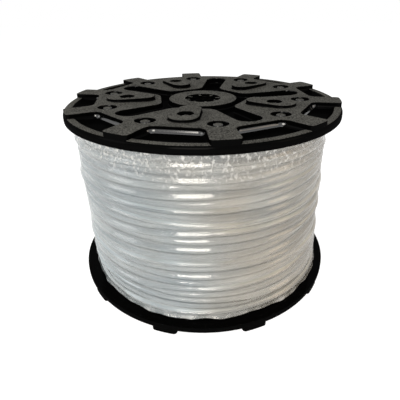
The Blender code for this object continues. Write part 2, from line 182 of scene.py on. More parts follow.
EDGE = 0.0009                   # radius of most upper edges
LUG_WALL = (0.0038, EDGE)       # of this and each wall below: the rounding at its foot and of its upper edge
PAD_WALL = (0.0016, 0.0006)
SLOT_WALL = (0.0020, EDGE)
DIMPLE_WALL = (0.0012, EDGE)
POST_WALL = (0.0008, 0.0012)
COUNTERBORE_WALL = (0.0004, 0.0007)
HUB_RECESS_WALL = (0.0006, 0.0007)
HUB_RIB_WALL = (0.0004, 0.0005)
ARBOR_WALL = (0.0, 0.0006)
FLARE_FADE = 0.0060             # length over which the lugs' flare runs out towards the lip
RIM_FOOT = ((0.0006, 0.0), (0.0001, 0.0003), (0.0, 0.0009))         # distance in from the rim, height
HOLE_MOUTH = (0.0004, 0.0003)   # width and depth of the chamfer where a screw hole meets its seat
SLOT_END_ROUNDING = 0.92        # the outer corners' radius, by the slot's half width there

LAND_START, LAND_FADE = 0.75, 0.2       # upward part of a normal where grain and painted sheen begin, and their growth to full
LEVEL, UPRIGHT = 0.9, 0.1       # upward part of the normal of a face that counts as level, and as upright
OUTWARD = 0.40                  # least outward part of the normal of a polished fillet
PIT_TOP = 0.0078                # floors under this level are pits, and faces over it are lands
FILLET_TOP = 0.0102             # the pockets' fillets end under this level
POST_EDGE_FOOT = 0.0104
POST_REACH = 0.0050             # half the width of the ring that holds the posts
GLOSS = {"pit": 0.005, "fillet": 0.72, "post edge": 0.35, "land": 0.02, "other": 0.015}
# The grey below is a painted sheen on faces that look up, mottled by the grain; the black is the plastic's
# own.
MOULDED_BLACK = (0.001, 0.001, 0.001)
SHEEN_AND_GRAIN_GREY = (0.118, 0.115, 0.104)

LIFT = 0.00006                  # keeps a rounding from lying in the plane that it runs out into
CLEAR = 0.0040                  # how far a cutter stands out of what it cuts
SINK = 0.0010                   # how far an added shape reaches into what it stands on
PLATE_SIDES = 176               # with 180 the pads, at every 72 degrees, fall on the plate's own corners
LONGEST_SIDE = 0.0025           # a wall that follows the dish has a point at least this often
LOWER_FACE_Z = 0.0150
UPPER_FACE_Z = 0.1980
UPPER_PAD_ANGLE = 258.9
LOWER_PAD_ANGLE = 271.6


def arc(centre, radius, first, last, points=13):
    """Points of an arc in plan, as complex numbers: the centre plus the radius times e to the i angle."""
    return centre + radius * np.exp(1j * np.radians(np.linspace(first, last, points)))


def circle(centre, radius, points):
    return arc(centre, radius, 0, 360, points + 1)[:-1]


def round_ended(ends):
    """Outline along +X: an arc about each of two centres, joined by the straight sides that touch both."""
    (near, small), (far, large) = np.array(ends) * FLANGE_RADIUS
    side = 90 + math.degrees(math.asin((large - small) / (far - near)))
    return np.concatenate([arc(far, large, -side, side, 25), arc(near, small, side, 360 - side, 21)])


def rounded(corners, radii, points=9):
    """Each corner becomes an arc that touches both its sides; the arc's centre is on their bisector."""
    back = np.roll(corners, 1) - corners
    ahead = np.roll(corners, -1) - corners
    back, ahead = back / abs(back), ahead / abs(ahead)
    half = abs(np.angle(ahead / back)) / 2
    centre = corners + (back + ahead) / abs(back + ahead) * radii / np.sin(half)
    start = corners + back * radii / np.tan(half) - centre
    end = corners + ahead * radii / np.tan(half) - centre
    sweep = np.angle(end * start.conj())
    along = np.linspace(0, 1, points)
    outline = (centre[:, None] + start[:, None] * np.exp(1j * sweep[:, None] * along)).ravel()
    return outline[abs(outline - np.roll(outline, 1)) > 1e-6]


def star_outline():
    """Ten parallel-sided lugs whose ends follow the rim, with a straight pocket edge between them."""
    rim = FLANGE_RADIUS - LUG_INSET
    half_step = math.pi / LUG_COUNT
    root = (POCKET_CHORD - LUG_HALF_WIDTH * math.sin(half_step)) / math.cos(half_step)
    end_angle = math.degrees(math.asin(LUG_HALF_WIDTH / rim))
    lug = np.concatenate([[root - 1j * LUG_HALF_WIDTH], arc(0, rim, -end_angle, end_angle, 7),
                          [root + 1j * LUG_HALF_WIDTH]])
    radii = np.array([POCKET_CORNER, LUG_CORNER, 0, 0, 0, 0, 0, LUG_CORNER, POCKET_CORNER])
    turns = np.exp(1j * half_step * (1 + 2 * np.arange(LUG_COUNT)))
    return rounded((turns[:, None] * lug).ravel(), np.tile(radii, LUG_COUNT))


def slot_outline():
    """Five slots whose narrow ends open into one moat, so that their outline is a single line round the axis.
    Its long straight sides are divided, since the edge above them follows the dish."""
    narrow, wide = SLOT_HALF_WIDTHS
    mouth = SLOT_MOUTH * np.exp(1j * math.asin(narrow / SLOT_MOUTH))
    slot = np.array([mouth.conj(), SLOT_END - 1j * wide, SLOT_END + 1j * wide, mouth])
    turns = np.exp(2j * math.pi * (np.arange(ARM_COUNT) + 0.5) / ARM_COUNT)
    corner = SLOT_END_ROUNDING * wide
    radii = np.tile([SLOT_MOUTH_CORNER, corner, corner, SLOT_MOUTH_CORNER], ARM_COUNT)
    outline = rounded((turns[:, None] * slot).ravel(), radii, 11)
    sides = zip(outline, np.roll(outline, -1))
    return np.concatenate([np.linspace(a, b, math.ceil(abs(b - a) / LONGEST_SIDE), endpoint=False)
                           for a, b in sides])


def outset(outline, distance):
    """The outline moved outwards: each point goes along its two sides' normals, added and then divided by
    one plus the cosine between them, so that straight sides keep their true distance."""
    side = np.roll(outline, -1) - outline
    normal = -1j * side / abs(side)
    before = np.roll(normal, 1)
    return outline + distance * (before + normal) / (1 + (before * normal.conj()).real)


def ground(plan):
    """Height of the dished face over a place: the dish's floor, then a straight rise to the face's level."""
    return np.interp(abs(plan), DISH, (DISH_FLOOR, FACE))


def carried(outline, profile, share=1.0):
    """The outline carried up a profile: at each (outset, height, on ground) it is moved out by that much and
    set at that height, measured from the dished face where the third value is one. Share says how much of
    the outset each of its points takes."""
    rings = [(outset(outline, out * share), height, on_ground) for out, height, on_ground in profile]
    return np.array([np.column_stack([at.real, at.imag, height + on_ground * ground(at)])
                     for at, height, on_ground in rings])


def turned(profile, steps):
    """A closed (radius, height) profile turned about the axis: radius times cosine and sine of the angle."""
    radius, height = np.array(profile).T
    angle = np.linspace(0, 2 * math.pi, steps, endpoint=False)
    flat = radius[:, None]
    return np.stack([flat * np.cos(angle), flat * np.sin(angle), height[:, None] + 0 * angle], 2)


def cut_profile(floor, wall, top=None):
    """A recess's wall from its floor up: a quarter-round fillet, the wall, and a rounded upper edge at the
    dished face, or at the level that top gives."""
    fillet, edge = wall
    foot = np.radians(np.linspace(-90, 0, 6))
    head = np.radians(np.linspace(180, 102, 5))
    level, on_ground = (0.0, 1) if top is None else (top, 0)
    rows = [(fillet * (math.cos(a) - 1), floor + fillet * (1 + math.sin(a)), 0) for a in foot]
    rows += [(edge * (1 + math.cos(a)), level + LIFT + edge * (math.sin(a) - 1), on_ground) for a in head]
    return rows + [(rows[-1][0], level + CLEAR, on_ground)]


def raised_profile(top, wall, floor=None):
    """A raised shape's wall from its foot up: a quarter-round flare on the dished face, or on the level that
    floor gives, the wall, and a rounded upper edge."""
    flare, edge = wall
    foot = np.radians(np.linspace(258, 180, 6))
    head = np.radians(np.linspace(0, 90, 6))
    level, on_ground = (0.0, 1) if floor is None else (floor, 0)
    rows = [(flare * (1 + math.cos(a)), level - LIFT + flare * (1 + math.sin(a)), on_ground) for a in foot]
    rows += [(edge * (math.cos(a) - 1), top + edge * (math.sin(a) - 1), 0) for a in head]
    return [(rows[0][0], level - SINK, on_ground)] + rows


def new_solid(name, shapes, ring_shaped=False):
    """One object of closed bodies. Each body is rings of points joined by quads, and capped at both ends
    unless it is ring shaped, when its last ring joins its first."""
    points, faces, first = [], [], 0
    for rings in shapes:
        count, around = rings.shape[:2]
        index = first + np.arange(count * around).reshape(count, around)
        lower = index if ring_shaped else index[:-1]
        upper = np.roll(index, -1, 0) if ring_shaped else index[1:]
        quads = np.stack([lower, np.roll(lower, -1, 1), np.roll(upper, -1, 1), upper], 2)
        faces += quads.reshape(-1, 4).tolist()
        if not ring_shaped:
            faces += [index[0, ::-1].tolist(), index[-1].tolist()]
        points.append(rings.reshape(-1, 3))
        first += count * around
    mesh = bpy.data.meshes.new(name)
    mesh.from_pydata(np.concatenate(points).tolist(), [], faces)
    obj = bpy.data.objects.new(name, mesh)
    bpy.context.scene.collection.objects.link(obj)
    return obj


def combined(body, steps):
    """The body after each (tool, operation) in turn, as one new mesh; the body and the tools are used up."""
    for tool, operation in steps:
        modifier = body.modifiers.new(tool.name, "BOOLEAN")
        modifier.operation, modifier.solver, modifier.object = operation, "EXACT", tool
    bpy.context.view_layer.update()
    graph = bpy.context.evaluated_depsgraph_get()
    mesh = bpy.data.meshes.new_from_object(body.evaluated_get(graph), depsgraph=graph)
    for used in (body, *(tool for tool, _ in steps)):
        bpy.data.objects.remove(used, do_unlink=True)
    return mesh


def spread_round(outline, count, first=0.0):
    """Copies of an outline evenly spaced round the axis, from the first angle in degrees."""
    return [outline * np.exp(1j * math.radians(first + 360 * index / count)) for index in range(count)]


def flange_plate():
    """The round plate, turned: a groove below for the drum, a rounded rim, and a lip that rises from the
    pockets' floor in half a cosine wave. The arbor hole is cut out of it last."""
    groove_in, groove_out, groove_depth = DRUM_GROOVE
    middle = ARBOR_RADIUS / 2
    quarter = np.radians(np.linspace(0, 90, 7))
    rows = [(middle, 0.0), (groove_in, 0.0), (groove_in, groove_depth), (groove_out, groove_depth),
            (groove_out, 0.0)]
    rows += [(FLANGE_RADIUS - inset, height) for inset, height in RIM_FOOT]
    rows += [(FLANGE_RADIUS + LIP_SHOULDER * (math.cos(a) - 1), LIP + LIP_SHOULDER * (math.sin(a) - 1))
             for a in quarter]
    foot, run = LIP_FOOT
    rows += [(foot + run * share, POCKET_FLOOR + (LIP - POCKET_FLOOR) * (1 - math.cos(math.pi * share)) / 2)
             for share in np.linspace(1, 0, 10)]
    return new_solid("plate", [turned(rows + [(middle, POCKET_FLOOR)], PLATE_SIDES)], True)


def lugs_and_arms():
    """The star, its flare fading out where a lug comes near the lip."""
    star = star_outline()
    share = np.clip((LIP_FOOT[0] + EDGE - abs(star)) / FLARE_FADE, 0, 1)
    return new_solid("star", [carried(star, raised_profile(FACE, LUG_WALL, POCKET_FLOOR), share)])


def dish_cutter():
    """All that lies over the dished face, turned: level in the middle, then rising at one slope."""
    middle, over = ARBOR_RADIUS / 2, PAD + CLEAR
    slope = (FACE - DISH_FLOOR) / (DISH[1] - DISH[0])
    profile = [(middle, DISH_FLOOR), (DISH[0], DISH_FLOOR),
               (FLANGE_RADIUS, DISH_FLOOR + slope * (FLANGE_RADIUS - DISH[0])),
               (FLANGE_RADIUS, over), (middle, over)]
    return new_solid("dish", [turned(profile, PLATE_SIDES)], True)


def raised_pads():
    outlines = spread_round(round_ended(PAD_ENDS), ARM_COUNT)
    return new_solid("pads", [carried(outline, raised_profile(PAD, PAD_WALL)) for outline in outlines])


def slots_cutter():
    """The slots and the moat as one ring: up their outer wall, and down the hub's wall, which is the same
    profile turned the other way and carried round the hub's circle at the same angles."""
    slots = slot_outline()
    wall = cut_profile(SLOT_FLOOR, SLOT_WALL)
    hub = [(-out, height, on_ground) for out, height, on_ground in wall[::-1]]
    round_hub = HUB_RADIUS * slots / abs(slots)
    return new_solid("slots", [np.concatenate([carried(slots, wall), carried(round_hub, hub)])], True)


def recess_cutters():
    """A dimple in each lug, a counterbore in each pad, and the hub's recess."""
    dimples = spread_round(circle(DIMPLE_CIRCLE, DIMPLE_RADIUS, 40), LUG_COUNT, HALF_LUG)
    bores = spread_round(circle(SCREW_CIRCLE, COUNTERBORE_RADIUS, 40), ARM_COUNT)
    cuts = [carried(outline, cut_profile(DIMPLE_FLOOR, DIMPLE_WALL)) for outline in dimples]
    cuts += [carried(outline, cut_profile(SEAT, COUNTERBORE_WALL, PAD)) for outline in bores]
    hub = circle(0, HUB_RECESS_RADIUS, 72)
    return new_solid("recesses", cuts + [carried(hub, cut_profile(HUB_RECESS_FLOOR, HUB_RECESS_WALL))])


def posts_and_ribs():
    """A round post in each dimple, and short ribs from the wall of the hub's recess towards the axis."""
    posts = spread_round(circle(DIMPLE_CIRCLE, POST_RADIUS, 22), LUG_COUNT, HALF_LUG)
    ends = np.array([HUB_RIB_INNER, HUB_RECESS_RADIUS + SINK])
    rib = np.concatenate([ends - 1j * HUB_RIB_HALF_WIDTH, ends[::-1] + 1j * HUB_RIB_HALF_WIDTH])
    ribs = spread_round(rib, HUB_RIB_COUNT, HUB_RIB_TURN)
    stands = [carried(outline, raised_profile(POST, POST_WALL, DIMPLE_FLOOR)) for outline in posts]
    stands += [carried(outline, raised_profile(HUB_RIB, HUB_RIB_WALL, HUB_RECESS_FLOOR)) for outline in ribs]
    return new_solid("stands", stands)


def hole_cutters():
    """A hole with a small chamfer under each counterbore, and the arbor hole with a rounded upper edge."""
    width, depth = HOLE_MOUTH
    through = [(0.0, -CLEAR, 0), (0.0, SEAT - depth, 0), (width, SEAT + LIFT, 0), (width, SEAT + SINK, 0)]
    screw_holes = spread_round(circle(SCREW_CIRCLE, SCREW_HOLE_RADIUS, 24), ARM_COUNT)
    holes = [carried(outline, through) for outline in screw_holes]
    arbor = [(0.0, -CLEAR, 0)] + cut_profile(0.0, ARBOR_WALL, HUB_RECESS_FLOOR)[5:]
    return new_solid("holes", holes + [carried(circle(0, ARBOR_RADIUS, 72), arbor)])


def mark_faces(mesh):
    """Two values for each face, from how it leans, its level and its distance from the axis. Land is one on
    the grained faces that look up, which are also painted with a sheen. Gloss is highest on the fillets along
    the pockets' inner walls."""
    normals, centres = np.empty(3 * len(mesh.polygons)), np.empty(3 * len(mesh.polygons))
    mesh.polygons.foreach_get("normal", normals)
    mesh.polygons.foreach_get("center", centres)
    normals = normals.reshape(-1, 3)
    x, y, level = centres.reshape(-1, 3).T
    facing_up = normals[:, 2]
    reach = np.hypot(x, y)
    outward = (normals[:, :2] * np.column_stack([x, y])).sum(1) / reach
    land = np.clip((facing_up - LAND_START) / LAND_FADE, 0, 1) * (level > PIT_TOP)
    pit = (facing_up > LEVEL) * (level <= PIT_TOP)
    leaning = (facing_up > UPRIGHT) & (facing_up <= LEVEL)
    in_pockets = (reach > SLOT_END) & (reach < LIP_FOOT[0]) & (level < FILLET_TOP)
    fillet = leaning & in_pockets & (outward > OUTWARD)
    by_posts = abs(reach - DIMPLE_CIRCLE) < POST_REACH
    post_edge = leaning & by_posts & (level > POST_EDGE_FOOT) & (level < POST)
    gloss = np.select([pit, fillet, post_edge, land > 0],
                      [GLOSS["pit"], GLOSS["fillet"], GLOSS["post edge"], GLOSS["land"]], GLOSS["other"])
    for name, values in (("land", land), ("gloss", gloss)):
        mesh.attributes.new(name, "FLOAT", "FACE").data.foreach_set("value", values.astype(np.float32))


def flange_mesh():
    """One flange with its inner face on the XY plane and its first pad on +X."""
    mesh = combined(flange_plate(), [(lugs_and_arms(), "UNION"), (dish_cutter(), "DIFFERENCE"),
                                     (raised_pads(), "UNION"), (slots_cutter(), "DIFFERENCE"),
                                     (recess_cutters(), "DIFFERENCE"), (posts_and_ribs(), "UNION"),
                                     (hole_cutters(), "DIFFERENCE")])
    mark_faces(mesh)
    mesh.shade_smooth()
    mesh.set_sharp_from_angle(angle=math.radians(35))
    return mesh


def black_plastic(start):
    """Nearly black. The lands are grained, and painted a little grey as a painted sheen where they look up;
    the fillets in the pockets keep the mould's polish, and the other walls and the floors are duller."""
    at = start.node("TexCoord", output="Object")
    land = start.node("Attribute", {"attribute_name": "land"}, output="Fac")
    gloss = start.node("Attribute", {"attribute_name": "gloss"}, output="Fac")
    grain = start.noise(at, 800.0)
    rubbed = start.noise(at, 60.0, 5.0)
    # Painted sheen: faces that look up are painted grey, broken up by grain and rubbed patches.
    sheen_and_grain = (land * (rubbed * 0.5 + grain * 2.4 - 0.85)).clamped()
    return {
        "Base Color": sheen_and_grain.mixed(MOULDED_BLACK, SHEEN_AND_GRAIN_GREY),
        "Roughness": land * 0.30 + rubbed * 0.04 + 0.12,
        "Specular IOR Level": 0.0,
        "Coat Weight": gloss,
        "Coat Roughness": 0.14,
        "Coat IOR": 2.0,
        "Normal": start.bump(grain * land, 0.00020),
    }


def flange_at(face_z, pad_angle, half_turn):
    """Where a flange goes: turned over by the half turn, turned about the axis, then lifted to its face."""
    return (Matrix.Translation((0, 0, face_z)) @ Matrix.Rotation(math.radians(pad_angle), 4, "Z")
            @ Matrix.Rotation(half_turn, 4, "X"))


def new_piece(name, mesh, finish, replaced):
    obj = bpy.data.objects.new(name, mesh)
    bpy.context.scene.collection.objects.link(obj)
    mesh.materials.clear()
    mesh.materials.append(finish)
    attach(obj, "root")
    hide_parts(replaced)
    return obj


flange_finish = new_finish("flange_plastic_finish", black_plastic)
moulding = flange_mesh()
places = {"upper": flange_at(UPPER_FACE_Z, UPPER_PAD_ANGLE, 0.0),
          "lower": flange_at(LOWER_FACE_Z, LOWER_PAD_ANGLE, math.pi)}
for side, place in places.items():
    cast = moulding.copy()
    cast.transform(place)
    flange = new_piece(side + "_flange_moulding", cast, flange_finish, side + "_flange")
    even = flange.modifiers.new("even_shading", "WEIGHTED_NORMAL")
    even.keep_sharp = True
bpy.data.meshes.remove(moulding)


# ------------------------------------------------------------------ screws and washers
# Five dark oxide pan head screws hold each flange, each on a plain washer at the foot of its pad's recess.
# They cut their own thread in the drum's towers, and have a cross recess.
SCREW_SIDES, SCREW_ROWS = 24, 96
SCREW_RADIUS = 0.0025
SCREW_CORE_RADIUS = 0.0019
SCREW_PITCH = 0.0018
SCREW_LENGTH = 0.0240
SCREW_NECK = 0.0004             # bare length under the head
SCREW_NECK_FLARE = 0.0003
SCREW_POINT = 0.0030            # length over which the tip narrows
SCREW_TIP_SHARE = 0.12          # of the shank's radius that is left at the tip
THREAD_HALF_WIDTH = 0.28        # of a pitch
SCREW_HEAD_RADIUS = 0.0048
SCREW_HEAD_HEIGHT = 0.0040
SCREW_HEAD_EDGE = 0.0003
SCREW_HEAD_SHOULDER = 0.0019    # depth below the top of the head's straight side
CROWN_FLAT, CROWN_WIDTH, CROWN_HEIGHT = 0.0018, 0.0030, 0.0018
CROSS_ARM, CROSS_HALF_WIDTH = 0.0027, 0.00065
CROSS_PROFILE = ((-0.00045, -0.0022), (0.0, -0.0003), (0.00015, 0.0010))    # outset, height over the top
WASHER_RADIUS = 0.0070
WASHER_HOLE_RADIUS = 0.0029
WASHER_THICKNESS = 0.0014
WASHER_EDGE = 0.0003
GAP = 0.0003                    # kept between pieces that meet
OXIDE_DARK = (0.060, 0.058, 0.054)
OXIDE_WORN = (0.125, 0.120, 0.110)


def screw_mesh():
    """The shank's radius is its core plus a ridge that depends on height less the turn's share of a pitch.
    The head is a turned dome on a short side, with a tapered cross sunk in it."""
    seat = SEAT + GAP + WASHER_THICKNESS + GAP
    top = seat + SCREW_HEAD_HEIGHT
    tip = top - SCREW_LENGTH
    angle = np.linspace(0, 2 * math.pi, SCREW_SIDES, endpoint=False)
    height = np.linspace(tip, seat - SCREW_NECK, SCREW_ROWS)[:, None]
    from_crest = abs(((height / SCREW_PITCH - angle / (2 * math.pi)) % 1.0) - 0.5)
    ridge = np.clip(1.0 - from_crest / THREAD_HALF_WIDTH, 0, 1)
    shank = SCREW_CORE_RADIUS + (SCREW_RADIUS - SCREW_CORE_RADIUS) * ridge
    shank = shank * np.clip((height - tip) / SCREW_POINT, SCREW_TIP_SHARE, 1.0)
    shank[-1] = SCREW_CORE_RADIUS
    head = [(SCREW_CORE_RADIUS + SCREW_NECK_FLARE, seat), (SCREW_HEAD_RADIUS - SCREW_HEAD_EDGE, seat),
            (SCREW_HEAD_RADIUS, seat + SCREW_HEAD_EDGE), (SCREW_HEAD_RADIUS, top - SCREW_HEAD_SHOULDER)]
    head += [(CROWN_FLAT + CROWN_WIDTH * math.cos(a), top - CROWN_HEIGHT + CROWN_HEIGHT * math.sin(a))
             for a in np.radians(np.linspace(0, 90, 8))]
    flat = np.concatenate([shank, np.array([[radius] for radius, _ in head]) + 0 * angle])
    level = np.concatenate([height + 0 * angle, np.array([[z] for _, z in head]) + 0 * angle])
    body = new_solid("screw_body", [np.stack([flat * np.cos(angle), flat * np.sin(angle), level], 2)])
    arm = np.array([CROSS_ARM - 1j * CROSS_HALF_WIDTH, CROSS_ARM + 1j * CROSS_HALF_WIDTH,
                    CROSS_HALF_WIDTH + 1j * CROSS_HALF_WIDTH])
    cross = (np.exp(0.5j * math.pi * np.arange(4))[:, None] * arm).ravel()
    drive = new_solid("drive", [carried(cross, [(out, top + height, 0) for out, height in CROSS_PROFILE])])
    mesh = combined(body, [(drive, "DIFFERENCE")])
    mesh.shade_smooth()
    mesh.set_sharp_from_angle(angle=math.radians(40))
    return mesh


def washer_mesh():
    """A flat ring's section with its corners cut off, turned about the axis."""
    low, high, edge = SEAT + GAP, SEAT + GAP + WASHER_THICKNESS, WASHER_EDGE
    profile = [(WASHER_HOLE_RADIUS + edge, low), (WASHER_RADIUS - edge, low), (WASHER_RADIUS, low + edge),
               (WASHER_RADIUS, high - edge), (WASHER_RADIUS - edge, high), (WASHER_HOLE_RADIUS + edge, high),
               (WASHER_HOLE_RADIUS, high - edge), (WASHER_HOLE_RADIUS, low + edge)]
    ring = new_solid("washer_ring", [turned(profile, 48)], True)
    mesh = combined(ring, [])
    mesh.shade_smooth()
    mesh.set_sharp_from_angle(angle=math.radians(40))
    return mesh


def dark_steel(start):
    """Dark oxide on steel, cloudy where it is worn, with fine scratches."""
    at = start.node("TexCoord", output="Object")
    cloud = start.noise(at, 250.0, 4.0)
    scratch = start.noise(at, 2500.0, 2.0)
    return {
        "Base Color": cloud.mixed(OXIDE_DARK, OXIDE_WORN),
        "Metallic": 1.0,
        "Roughness": cloud * 0.22 + 0.26,
        "Normal": start.bump(scratch, 0.00003),
    }


steel_finish = new_finish("screw_steel_finish", dark_steel)
screw, washer = screw_mesh(), washer_mesh()
for side, place in places.items():
    way_round = 1 if side == "upper" else -1
    for number in range(ARM_COUNT):
        there = place @ Matrix.Rotation(2 * math.pi * number / ARM_COUNT * way_round, 4, "Z")
        there = there @ Matrix.Translation((SCREW_CIRCLE, 0, 0))
        for kind, shape in (("screw", screw), ("washer", washer)):
            part = shape.copy()
            part.transform(there)
            node = f"{side}_{kind}_{number + 1}"
            new_piece(node + "_steel", part, steel_finish, node)
bpy.data.meshes.remove(screw)
bpy.data.meshes.remove(washer)


# ------------------------------------------------------------------ inner layers of string
# Under the outer layer the string is wound the other way in close turns, layer on layer, down to the drum.
# Only the backs of its outermost turns show, through the gaps between the turns above.
STRING_RADIUS = 0.003175
OUTER_RADIUS = 0.1385           # of the winding, over its outer layer
LOW_Z = LOWER_FACE_Z + GAP
HIGH_Z = UPPER_FACE_Z - GAP
TURNS = 24
START_ANGLE = math.radians(98.9)
INNER_CREST = 0.1306
INNER_FOOT = 0.0951             # the inmost layer's radius, just clear of the drum
INNER_STEPS, ROWS_PER_TURN = 180, 8
VALLEY_RISE = 0.3               # least rise of the surface between two turns, by the string's radius
# Where the winding bulges: how far, towards which angle, from what height, and over what height up or down.
BULGES = ((0.0030, 195, 0.030, 0.110), (0.0016, 340, 0.085, -0.040))
# The cool colours are painted on the reel's left and the warm ones on its right, as painted side light.
COOL_SHADE, COOL_LIGHT = (0.25, 0.29, 0.31), (0.41, 0.46, 0.49)
WARM_SHADE, WARM_LIGHT = (0.27, 0.245, 0.20), (0.47, 0.43, 0.355)
# Painted light: the sides between the turns and the inner layers are painted this pale, for light through the
# string.
LIT_THROUGH = (0.68, 0.70, 0.70)


def swell(angle, height):
    """How far the winding stands out of round: most at its upper left, and a little at its lower right. Each
    bulge is its size, times a squared cosine of the angle from it, times a straight growth with height."""
    return sum(size * (np.clip(np.cos(angle - math.radians(toward)), 0, 1) ** 2
                       * np.clip((height - start) / growth, 0, 1))
               for size, toward, start, growth in BULGES)


def inner_rings():
    """Radius is the crest's circle, less what a round string falls away from its own crest line; the crest
    line climbs clockwise, one pitch to the turn."""
    pitch = (HIGH_Z - LOW_Z) / TURNS
    angle = np.linspace(0, 2 * math.pi, INNER_STEPS, endpoint=False)
    height = np.linspace(LOW_Z, HIGH_Z, TURNS * ROWS_PER_TURN + 1)[:, None]
    off = ((height - LOW_Z) / pitch + angle / (2 * math.pi)) % 1.0 - 0.5
    rise = np.sqrt(np.clip(STRING_RADIUS ** 2 - (off * pitch) ** 2, (VALLEY_RISE * STRING_RADIUS) ** 2, None))
    radius = INNER_CREST - (STRING_RADIUS - rise) + swell(angle, height)
    outside = np.stack([radius * np.cos(angle), radius * np.sin(angle), height + 0 * angle], 2)
    foot = np.array([HIGH_Z, LOW_Z])[:, None] + 0 * angle
    inside = np.stack([INNER_FOOT * np.cos(angle) + 0 * foot, INNER_FOOT * np.sin(angle) + 0 * foot, foot], 2)
    return np.concatenate([outside, inside])


def side_light_and_drift(start, at):
    """Painted side light: cool on the reel's left and warm on its right, with slow drifts between."""
    across = start.node("SeparateXYZ", {}, {0: at}, 0)
    drift = start.noise(at, 11.0, 3.0)
    return (across * 7.0 + drift * 2.0 - 0.65).clamped()


def clear_string(start):
    """Milky see-through plastic, with slow drifts of warm and cool along and across the turns, and painted
    side light, warm on the reel's right and cool on its left. Light that comes through the string is painted
    in: its sides where the turns lie together, and the inner layers, are painted paler."""
    at = start.node("TexCoord", output="Object")
    deep = start.node("Attribute", {"attribute_name": "between_turns"}, output="Fac")
    streak = start.noise(at, 240.0, 3.0, (0.10, 0.10, 1.0))
    fine = start.noise(at, 900.0, 2.0, (0.25, 0.25, 1.0))
    warm_light_and_drift = side_light_and_drift(start, at)
    pale = (streak * 1.7 - 0.35).clamped()
    colour = warm_light_and_drift.mixed(pale.mixed(COOL_SHADE, COOL_LIGHT), pale.mixed(WARM_SHADE, WARM_LIGHT))
    return {
        "Base Color": deep.mixed(colour, LIT_THROUGH),
        "Roughness": fine * 0.14 + 0.22,
        "Coat Weight": (streak * 1.8 - 0.25).clamped(),
        "Coat Roughness": 0.09,
        "Normal": start.bump(fine, 0.00008),
    }


string_finish = new_finish("string_plastic_finish", clear_string)
inner = new_solid("inner_turns", [inner_rings()], True)
inner_mesh = combined(inner, [])
# The inner layers are painted pale all over, as painted light that shows through the gaps.
between = np.ones(len(inner_mesh.vertices), np.float32)
inner_mesh.attributes.new("between_turns", "FLOAT", "POINT").data.foreach_set("value", between)
inner_mesh.shade_smooth()
new_piece("string_inner_turns", inner_mesh, string_finish, "string_inner_layers")


# ------------------------------------------------------------------ outer layer of string
# The last layer is one length of quarter inch clear plastic string, wound by machine in 24 turns. Its turns
# crowd and spread a little, and where they crowd every other one rides up.
ROUND_STEPS = 180
STRING_SIDES = 14
END_RUN = 0.010                 # height by each flange over which the turns come to lie even
# The waves that all turns share: size, length up the winding, and how many go round it.
WAVES = ((0.0014, 0.052, 1), (0.0011, 0.033, -2), (0.0019, 0.105, 1), (0.0007, 0.021, 3))
WANDER = 0.00034                # of one turn by itself
WANDER_LAPS = (0.61, 1.37, 2.73, 4.19)
KEPT_APART = 2.02 * STRING_RADIUS
MOST_RIDE = 0.0019
RIDE_SHARE = 0.9                # how much of the ride a turn takes
VALLEY_START = 0.55             # cosine from straight out past which the string's side lies between turns


def outer_path():
    """Height climbs evenly with the turn, plus slow waves round and up the winding that all turns share, and
    a slight wander of each turn. Where two turns come closer than a string's width, their radii part by
    what keeps them a width apart, up and down by turns."""
    chance = np.random.default_rng(7)
    turn = np.arange(TURNS * ROUND_STEPS + 1) / ROUND_STEPS
    low, high = LOW_Z + STRING_RADIUS, HIGH_Z - STRING_RADIUS
    plain = low + (high - low) * turn / TURNS
    round_it = 2 * math.pi * (turn % 1.0)
    away_from_start = np.clip(np.sin(round_it / 2) * 4.0, 0, 1)
    ends = np.clip(np.minimum(plain - low, high - plain) / END_RUN, 0, 1)
    wave, wander = np.zeros_like(turn), np.zeros_like(turn)
    for size, length, laps in WAVES:
        wave += size * np.sin(2 * math.pi * plain / length + laps * round_it + chance.uniform(0, 6.28))
    for laps in WANDER_LAPS:
        wander += WANDER * np.sin(2 * math.pi * laps * turn + chance.uniform(0, 6.28))
    height = plain + (wave + wander) * away_from_start * ends
    gap = np.full(len(turn) + ROUND_STEPS, 1.0)
    gap[ROUND_STEPS:-ROUND_STEPS] = height[ROUND_STEPS:] - height[:-ROUND_STEPS]
    part = np.sqrt(np.clip(KEPT_APART ** 2 - gap ** 2, 0, None))
    ride = np.maximum(part[:-ROUND_STEPS], part[ROUND_STEPS:]) / 2
    ride = np.clip(ride, 0, MOST_RIDE) * away_from_start
    up_or_down = np.where(np.floor(turn) % 2 == 0, RIDE_SHARE, -RIDE_SHARE)
    angle = START_ANGLE + 2 * math.pi * turn
    radius = OUTER_RADIUS - STRING_RADIUS - GAP + ride * up_or_down + swell(angle, height)
    return np.column_stack([radius * np.cos(angle), radius * np.sin(angle), height])


def tube_rings(path, radius, sides):
    """A circle carried along a path: at each point it lies across the direction to the next, and its first
    point faces away from the axis."""
    along = np.gradient(path, axis=0)
    along /= np.linalg.norm(along, axis=1)[:, None]
    out = path * (1, 1, 0)
    out -= along * (out * along).sum(1)[:, None]
    out /= np.linalg.norm(out, axis=1)[:, None]
    across = np.cross(along, out)
    angle = np.linspace(0, 2 * math.pi, sides, endpoint=False)[None, :, None]
    return path[:, None] + radius * (np.cos(angle) * out[:, None] + np.sin(angle) * across[:, None])


string_path = outer_path()
outer = new_solid("outer_turns", [tube_rings(string_path, STRING_RADIUS, STRING_SIDES)])
outer_mesh = combined(outer, [])
outwards = np.cos(np.arange(len(outer_mesh.vertices)) % STRING_SIDES * 2 * math.pi / STRING_SIDES)
# Painted light: the sides of the string that face between the turns are painted paler.
between = np.clip(VALLEY_START - outwards, 0, 1).astype(np.float32)
outer_mesh.attributes.new("between_turns", "FLOAT", "POINT").data.foreach_set("value", between)
outer_mesh.shade_smooth()
new_piece("string_outer_turns", outer_mesh, string_finish, "string_outer_layer")


